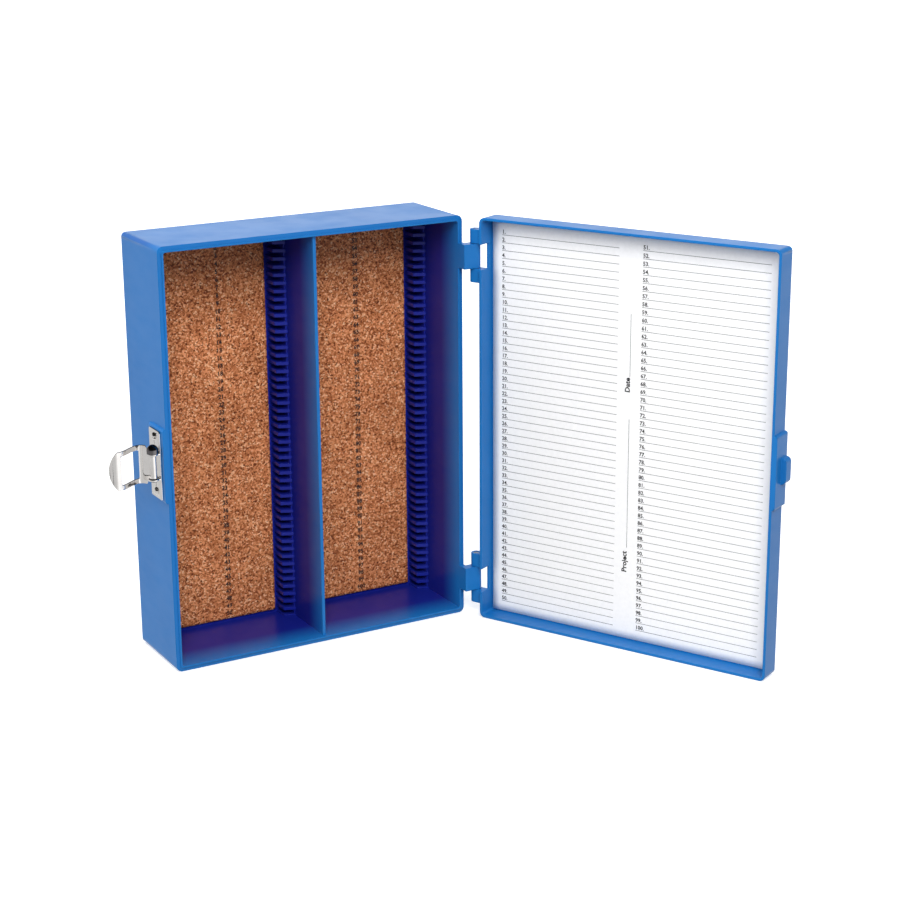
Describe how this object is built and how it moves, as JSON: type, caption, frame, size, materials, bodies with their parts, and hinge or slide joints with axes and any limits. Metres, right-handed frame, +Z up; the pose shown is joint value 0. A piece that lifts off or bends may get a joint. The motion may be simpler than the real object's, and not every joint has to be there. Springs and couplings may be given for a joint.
{
  "type": "microscope slide storage box",
  "caption": "Upright blue plastic slide box with a side-hinged lid, two cork-lined racked compartments, an index card and a plated hasp latch.",
  "frame": {"origin": "centre of the face that the tray stands on", "axes": "+Z up along the box's long side, +X towards the hinge side, -Y out of the tray's open front"},
  "size_m": [0.2737, 0.2004, 0.208],
  "materials": {
    "blue_plastic": "moulded, semi-gloss",
    "cork": "granulated cork sheet, matte",
    "card": "uncoated card, matte",
    "nickel_plate": "polished nickel plate",
    "pin_steel": "drawn wire"
  },
  "bodies": {
    "tray": {"tray": "blue_plastic", "rack_left_outer": "blue_plastic", "rack_left_inner": "blue_plastic", "rack_right_inner": "blue_plastic", "rack_right_outer": "blue_plastic", "cork_left": "cork", "cork_right": "cork", "hinge_pin_upper": "pin_steel", "hinge_pin_lower": "pin_steel", "latch_bracket": "nickel_plate", "latch_pin": "nickel_plate", "latch_rivets": "nickel_plate"},
    "lid": {"lid": "blue_plastic", "index_card": "card"},
    "hasp": {"latch_hasp": "nickel_plate"}
  },
  "joints": [
    {"name": "lid_hinge", "type": "hinge", "parent": "tray", "child": "lid", "pos_m": [0.0849, -0.0273, 0.104], "axis": [0, 0, 1], "range_deg": [-117, 63]},
    {"name": "hasp_hinge", "type": "hinge", "parent": "tray", "child": "hasp", "pos_m": [-0.0854, -0.0189, 0.1036], "axis": [0, 0, 1], "range_deg": [-30, 104]}
  ]
}
